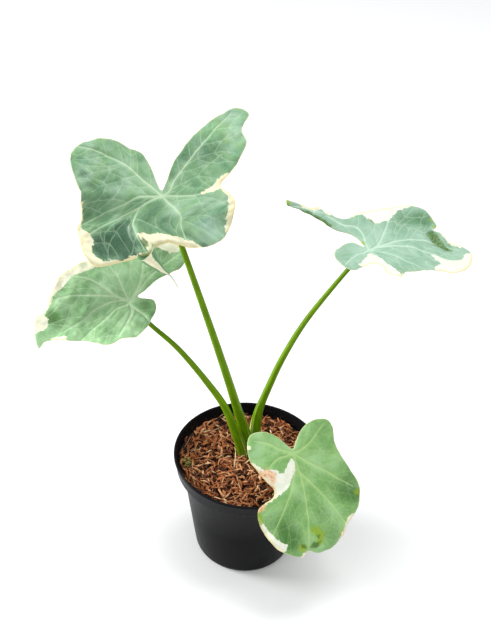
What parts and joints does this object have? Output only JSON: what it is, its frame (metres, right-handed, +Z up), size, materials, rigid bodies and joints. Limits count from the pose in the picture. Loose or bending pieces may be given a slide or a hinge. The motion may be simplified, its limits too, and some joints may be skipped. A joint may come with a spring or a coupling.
{
  "type": "potted alocasia",
  "caption": "Potted aroid with broad, wavy, cream-edged leaves on long green petioles, in a round black nursery pot topped with shredded bark.",
  "frame": {"origin": "on the surface it stands on, under the middle of the pot", "axes": "+Z up, -Y towards the front leaf that hangs over the lip, +X to the right of the front view"},
  "size_m": [0.3975, 0.2214, 0.4606],
  "materials": {
    "pot_plastic": "satin moulded",
    "soil": "rough and damp",
    "bark": "rough, fibrous",
    "corm_skin": "rough",
    "stem_green": "waxy, smooth",
    "leaf_green": "waxy, matte",
    "leaf_pale": "waxy, matte",
    "leaf_bright": "waxy, matte"
  },
  "bodies": {
    "root": {"pot": "pot_plastic", "potting_mix": "soil", "bark_mulch": "bark", "corm_with_roots": "corm_skin", "petiole_upper_left": "stem_green", "petiole_lower_left": "stem_green", "petiole_right": "stem_green", "petiole_front": "stem_green", "blade_upper_left": "leaf_green", "blade_lower_left": "leaf_green", "blade_right": "leaf_pale", "blade_front": "leaf_bright"}
  },
  "joints": []
}
